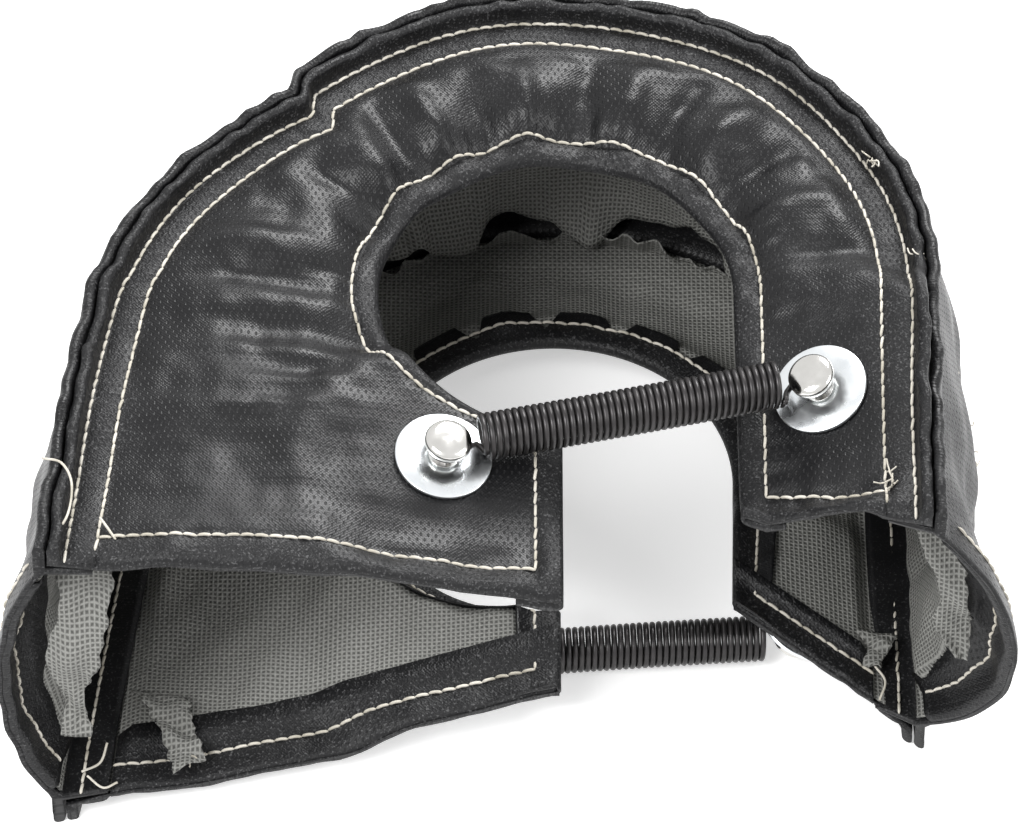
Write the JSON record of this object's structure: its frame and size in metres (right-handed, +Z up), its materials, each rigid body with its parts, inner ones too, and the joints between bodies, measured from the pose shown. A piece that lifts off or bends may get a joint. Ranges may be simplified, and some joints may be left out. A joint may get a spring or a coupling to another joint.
{
  "type": "turbine housing heat blanket",
  "caption": "Horseshoe heat blanket of coated cloth over felt: two sewn faces joined by a band, open at the centre and between the legs, drawn together by springs.",
  "frame": {"origin": "middle of the plan, on the surface that the lower seam lips rest on", "axes": "+X across the two legs, +Y towards the closed back, +Z up through the central hole"},
  "size_m": [0.258, 0.2048, 0.1083],
  "materials": {
    "outer_cloth": "black coated woven glass cloth, satin, fine dotted weave",
    "felt": "off-white needled insulating felt",
    "liner": "mid grey woven lining cloth, matt",
    "stud": "polished nickel plate",
    "washer": "bright zinc plate",
    "spring": "dark oiled spring wire"
  },
  "bodies": {
    "root": {"upper_face_cloth": "outer_cloth", "upper_face_felt": "felt", "upper_face_liner": "liner", "lower_face_cloth": "outer_cloth", "lower_face_felt": "felt", "lower_face_liner": "liner", "band_cloth": "outer_cloth", "band_felt": "felt", "band_liner": "liner", "upper_left_stud": "stud", "upper_left_washer": "washer", "upper_left_back_washer": "washer", "upper_right_stud": "stud", "upper_right_washer": "washer", "upper_right_back_washer": "washer", "upper_spring": "spring", "lower_left_stud": "stud", "lower_left_washer": "washer", "lower_left_back_washer": "washer", "lower_right_stud": "stud", "lower_right_washer": "washer", "lower_right_back_washer": "washer", "lower_spring": "spring"}
  },
  "joints": []
}
